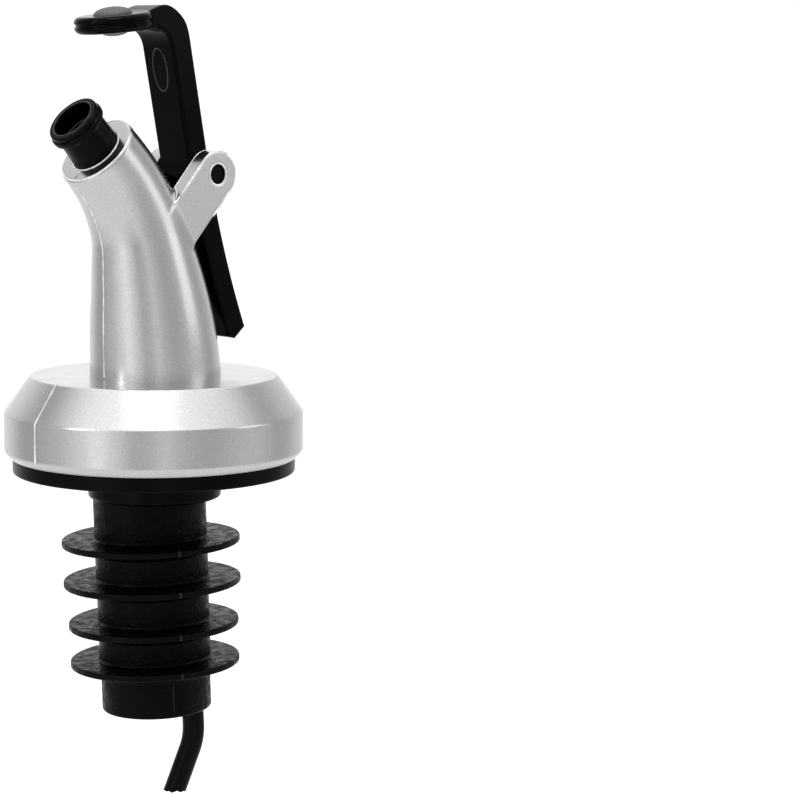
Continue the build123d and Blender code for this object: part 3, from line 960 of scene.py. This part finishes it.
def make_pad(material):
    """Rivet-like pad: a dome above the head and a lens below, joined by a stem."""
    s, c = math.sin(HEAD_SLOPE), math.cos(HEAD_SLOPE)
    top = np.array((PAD_X, 0, head_top_z(PAD_X)))
    quarter = math.pi / 2

    def at(height):
        return top + height * np.array((-s, 0, c)), np.array((c, 0, s)), np.array((0, 1, 0))

    dome = [(PAD_DOME_R * math.cos(t), PAD_DOME_HEIGHT * math.sin(t))
            for t in np.linspace(0, quarter * (1 - DOME_POLE_GAP), 14)]
    lens = [(PAD_LENS_R * math.sin(t), -HEAD_THICKNESS - PAD_LENS_DEPTH * math.cos(t))
            for t in np.linspace(quarter * LENS_POLE_GAP, quarter, 12)]
    stem = [(PAD_STEM_R, -HEAD_THICKNESS), (PAD_STEM_R, 0)]
    pad = lathe("seal_pad_rubber", lens + stem + dome, at, 64)
    dress(pad, "lever", material)
    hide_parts("seal_pad")


# ---------------------------------------------------------------- materials

def dress(obj, body, material):
    """Gives a piece its material, and its body unless it is a CAD node."""
    obj.data.materials.clear()
    obj.data.materials.append(material)
    if "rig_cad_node" not in obj:
        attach(obj, body)


def node_material(name, colour, metallic, roughness, specular=0.5):
    material = bpy.data.materials.new(name)
    material.use_nodes = True
    shader = material.node_tree.nodes["Principled BSDF"]
    shader.inputs["Base Color"].default_value = (*colour, 1)
    shader.inputs["Metallic"].default_value = metallic
    shader.inputs["Roughness"].default_value = roughness
    shader.inputs["Specular IOR Level"].default_value = specular
    return material, shader


def noise(material, scale, detail):
    """Value of a noise that has about scale grains to the metre."""
    nodes, links = material.node_tree.nodes, material.node_tree.links
    place = nodes.new("ShaderNodeTexCoord")
    texture = nodes.new("ShaderNodeTexNoise")
    texture.inputs["Scale"].default_value = scale
    texture.inputs["Detail"].default_value = detail
    links.new(place.outputs["Object"], texture.inputs["Vector"])
    return texture.outputs["Fac"]


def fill_ramp(node, stops):
    """Gives a ramp node its (position, colour or grey) stops."""
    elements = node.color_ramp.elements
    while len(elements) < len(stops):
        elements.new(0.5)
    for element, (position, colour) in zip(elements, stops):
        element.position = position
        element.color = (*colour, 1) if isinstance(colour, tuple) else (colour, colour, colour, 1)


def drive(material, shader, socket, value, stops):
    """Sets a shader socket from a value, through a ramp of those stops."""
    nodes, links = material.node_tree.nodes, material.node_tree.links
    node = nodes.new("ShaderNodeValToRGB")
    fill_ramp(node, stops)
    links.new(value, node.inputs["Fac"])
    links.new(node.outputs["Color"], shader.inputs[socket])


def bump(material, shader, heights):
    """Chain of bumps from (value, distance in metres, strength)."""
    nodes, links = material.node_tree.nodes, material.node_tree.links
    last = None
    for value, distance, strength in heights:
        node = nodes.new("ShaderNodeBump")
        node.inputs["Distance"].default_value = distance
        node.inputs["Strength"].default_value = strength
        links.new(value, node.inputs["Height"])
        if last is not None:
            links.new(last, node.inputs["Normal"])
        last = node.outputs["Normal"]
    links.new(last, shader.inputs["Normal"])


def metallised():
    """Silver skin with fine flakes and a slow change of gloss."""
    material, shader = node_material("metallised_silver", (0.6, 0.6, 0.61), 1.0, 0.3)
    flakes = noise(material, scale=5200, detail=2)
    cloud = noise(material, scale=160, detail=2)
    drive(material, shader, "Base Color", flakes, [(0.3, (0.54, 0.54, 0.545)), (0.7, (0.64, 0.64, 0.65))])
    drive(material, shader, "Roughness", cloud, [(0.3, 0.19), (0.7, 0.26)])
    ripple = noise(material, scale=700, detail=2)
    bump(material, shader, [(flakes, 0.00003, 0.12), (ripple, 0.00003, 0.12)])
    return material


def painted_highlight_skin():
    """Painted highlight: a lighter skin for the fine raised lines and edge beads, standing in for the
    highlights on tight edges.
    """
    material, shader = node_material("painted_edge_highlight", (0.9, 0.9, 0.9), 0.35, 0.45)
    highlight_patchiness = noise(material, scale=900, detail=2)
    drive(material, shader, "Base Color", highlight_patchiness, [(0.35, 0.6), (0.65, 0.95)])
    return material


def black_plastic(name, level, roughness, grain, specular):
    """Black plastic of that grey level and roughness; grain is the strength of its fine bumps."""
    material, shader = node_material(name, (level, level, level), 0.0, roughness, specular)
    cloud = noise(material, scale=240, detail=4)
    for socket, middle in (("Base Color", level), ("Roughness", roughness)):
        drive(material, shader, socket, cloud, [(0.3, middle * 0.8), (0.7, middle * 1.25)])
    fine = noise(material, scale=2600, detail=3)
    coarse = noise(material, scale=300, detail=2)
    bump(material, shader, [(fine, 0.00004, grain), (coarse, 0.00008, grain * 0.6)])
    return material


def stopper_rubber():
    """Black rubber with the pitted face of a spark-eroded mould."""
    material, shader = node_material("moulded_rubber", (0.02, 0.02, 0.02), 0.0, 0.4, 0.065)
    pits = noise(material, scale=2300, detail=4)
    cloud = noise(material, scale=260, detail=3)
    drive(material, shader, "Base Color", cloud, [(0.3, 0.0005), (0.7, 0.0012)])
    drive(material, shader, "Roughness", noise(material, scale=900, detail=3), [(0.35, 0.2), (0.65, 0.5)])
    bump(material, shader, [(pits, 0.0002, 0.6), (noise(material, scale=520, detail=3), 0.0002, 0.5)])
    return material


def pad_rubber():
    """Soft grey rubber with a fine even grain."""
    material, shader = node_material("soft_grey_rubber", (0.12, 0.12, 0.12), 0.0, 0.6, 0.2)
    drive(material, shader, "Base Color", noise(material, scale=500, detail=4), [(0.3, 0.1), (0.7, 0.14)])
    bump(material, shader, [(noise(material, scale=2600, detail=3), 0.00005, 0.3)])
    return material


# ---------------------------------------------------------------- stage, light, camera

CAMERA_DISTANCE = 0.330
CAMERA_LENS = 112.5
CAMERA_AZIMUTH = math.radians(40)
CAMERA_ELEVATION = math.radians(9.24)
CAMERA_ROLL = math.radians(0.34)
AIM_RIGHT = 0.03239
AIM_UP = 0.00899
VIEW_CENTRE = Vector((0, 0, 0.00035))


def make_camera():
    """Camera a little above the object's middle, turned so that the object stands at the left."""
    a, e = CAMERA_AZIMUTH, CAMERA_ELEVATION
    back = Vector((-math.sin(a) * math.cos(e), -math.cos(a) * math.cos(e), math.sin(e)))
    right = Vector((math.cos(a), -math.sin(a), 0))
    up = back.cross(right)
    rolled_right = right * math.cos(CAMERA_ROLL) - up * math.sin(CAMERA_ROLL)
    rolled_up = up * math.cos(CAMERA_ROLL) + right * math.sin(CAMERA_ROLL)
    aim = -back * CAMERA_DISTANCE + rolled_right * AIM_RIGHT + rolled_up * AIM_UP
    turn = (-back).rotation_difference(aim)
    data = bpy.data.cameras.new("camera")
    data.lens = CAMERA_LENS
    data.sensor_width = 36
    data.clip_start = 0.01
    data.clip_end = 100
    camera = link_object("camera", data)
    axes = [turn @ rolled_right, turn @ rolled_up, turn @ back]
    camera.matrix_world = matrix_from(axes, VIEW_CENTRE + back * CAMERA_DISTANCE)
    bpy.context.scene.camera = camera


def matrix_from(axes, place):
    """Matrix whose columns are those axes and that place."""
    rows = [[axes[c][r] for c in range(3)] + [place[r]] for r in range(3)]
    return Matrix(rows + [[0, 0, 0, 1]])


# Point that the lights face, in metres.
LIGHT_AIM = (0, 0, 0.01)
# Soft lights: name, azimuth from the camera to its right and elevation in degrees, distance and size in
# metres, power in watts.
LIGHTS = [
    ("overhead", -12, 74, 0.6, (0.26, 0.06), 0.85),
    ("left", -62, 28, 0.6, (0.06, 0.35), 0.5),
    ("right", 80, 20, 0.6, (0.25, 0.35), 0.2),
]


def area_light(name, azimuth, elevation, distance, size, power):
    """Soft light seen from the object at an azimuth counted from the camera, to its right, in degrees."""
    data = bpy.data.lights.new(name, "AREA")
    data.shape = "RECTANGLE"
    data.size, data.size_y = size
    data.energy = power
    light = link_object(name, data)
    turn = math.radians(azimuth) - math.pi / 2 - CAMERA_AZIMUTH
    rise = math.radians(elevation)
    way = Vector((math.cos(turn) * math.cos(rise), math.sin(turn) * math.cos(rise), math.sin(rise)))
    light.location = Vector(LIGHT_AIM) + way * distance
    light.rotation_mode = "QUATERNION"
    light.rotation_quaternion = way.to_track_quat("Z", "Y")
    light.visible_camera = False


# Brightness of the studio round the object, by azimuth from the camera to its right in degrees.
STUDIO_RING = [
    (-180, 1.15), (-150, 0.95), (-112, 0.5), (-78, 0.68), (-60, 0.95), (-44, 1.3), (-30, 0.95), (-14, 0.56),
    (-3, 0.66), (8, 0.88), (20, 0.66), (38, 0.54), (82, 0.72), (112, 0.52), (145, 0.8), (180, 1.15),
]
STUDIO_TOP = 1.4
STUDIO_FLOOR = 1.0
# Heights of a direction, from -1 to 1, over which the ring gives way to the light above and below it.
TOP_FADE = (0.6, 0.85)
FLOOR_FADE = (-0.18, -0.6)
# Levels are divided by this and the background's strength multiplies them by it: a ramp stops at 1.
STUDIO_STRENGTH = 2.0


def map_range(nodes, low, high):
    node = nodes.new("ShaderNodeMapRange")
    node.inputs["From Min"].default_value = low
    node.inputs["From Max"].default_value = high
    return node


def studio_ring(nodes):
    """Ramp with the brightness of the ring, over one turn."""
    node = nodes.new("ShaderNodeValToRGB")
    node.color_ramp.interpolation = "EASE"
    fill_ramp(node, [((degrees + 180) / 360, level / STUDIO_STRENGTH) for degrees, level in STUDIO_RING])
    return node


def fade_to(nodes, links, colour, height, fade, level):
    """Mixes from a colour to a grey level as the height goes over the fade."""
    share = map_range(nodes, *fade)
    mix = nodes.new("ShaderNodeMix")
    mix.data_type = "RGBA"
    mix.inputs["B"].default_value = (level / STUDIO_STRENGTH,) * 3 + (1,)
    links.new(height, share.inputs["Value"])
    links.new(share.outputs["Result"], mix.inputs["Factor"])
    links.new(colour, mix.inputs["A"])
    return mix.outputs["Result"]


def make_world():
    """Soft studio surroundings: light and dark uprights in a ring, with even light above and below."""
    world = bpy.data.worlds.new("studio")
    world.use_nodes = True
    nodes, links = world.node_tree.nodes, world.node_tree.links
    background = nodes["Background"]
    place = nodes.new("ShaderNodeTexCoord")
    mapping = nodes.new("ShaderNodeMapping")
    mapping.inputs["Rotation"].default_value = (0, 0, math.pi / 2 + CAMERA_AZIMUTH)
    parts = nodes.new("ShaderNodeSeparateXYZ")
    angle = nodes.new("ShaderNodeMath")
    angle.operation = "ARCTAN2"
    share = map_range(nodes, -math.pi, math.pi)
    ring = studio_ring(nodes)
    links.new(place.outputs["Generated"], mapping.inputs["Vector"])
    links.new(mapping.outputs["Vector"], parts.inputs["Vector"])
    links.new(parts.outputs["Y"], angle.inputs[0])
    links.new(parts.outputs["X"], angle.inputs[1])
    links.new(angle.outputs["Value"], share.inputs["Value"])
    links.new(share.outputs["Result"], ring.inputs["Fac"])
    under = fade_to(nodes, links, ring.outputs["Color"], parts.outputs["Z"], FLOOR_FADE, STUDIO_FLOOR)
    whole = fade_to(nodes, links, under, parts.outputs["Z"], TOP_FADE, STUDIO_TOP)
    links.new(whole, background.inputs["Color"])
    background.inputs["Strength"].default_value = STUDIO_STRENGTH
    bpy.context.scene.world = world


# The floor, in metres: half its side, and how far it lies below the object.
FLOOR_HALF_SIDE = 6.0
FLOOR_DROP = 0.012
FLOOR_GLOW = 0.14


def make_stage():
    """Pale floor that doesn't show in reflections, the studio round it and the soft lights."""
    half = FLOOR_HALF_SIDE
    z = cad_low.z - FLOOR_DROP
    mesh = bpy.data.meshes.new("floor")
    corners = [(-half, -half, z), (half, -half, z), (half, half, z), (-half, half, z)]
    mesh.from_pydata(corners, [], [(0, 1, 2, 3)])
    floor = link_object("floor", mesh)
    material, shader = node_material("pale_floor", (0.93, 0.93, 0.93), 0.0, 0.9)
    shader.inputs["Emission Color"].default_value = (1, 1, 1, 1)
    shader.inputs["Emission Strength"].default_value = FLOOR_GLOW
    mesh.materials.append(material)
    floor.visible_glossy = False
    make_world()
    for light in LIGHTS:
        area_light(*light)
    bpy.context.scene.view_settings.view_transform = "Standard"


silver = metallised()
black = black_plastic("black_moulded_plastic", 0.0006, 0.22, 0.3, 0.07)
lever_black = black_plastic("polished_black_plastic", 0.0005, 0.14, 0.12, 0.055)
hose_black = black_plastic("extruded_black_plastic", 0.0008, 0.28, 0.35, 0.09)
# Lighter black for the beads at the mouth and on the lever's oval: painted highlights.
highlight_black = black_plastic("painted_highlight_black", 0.04, 0.25, 0.1, 0.3)
make_shell(silver)
make_liner(black, highlight_black)
make_base_disc(black)
# The stopper's tabs and seam line take a lighter black that paints their highlights.
make_stopper(stopper_rubber(), black_plastic("rubber_seam_painted_highlight", 0.012, 0.3, 0.2, 0.15))
make_breather(hose_black)
make_lever(lever_black, highlight_black)
make_pad(pad_rubber())
dress(frame["nodes"]["pivot_pin"], "lever", black)
make_stage()
make_camera()
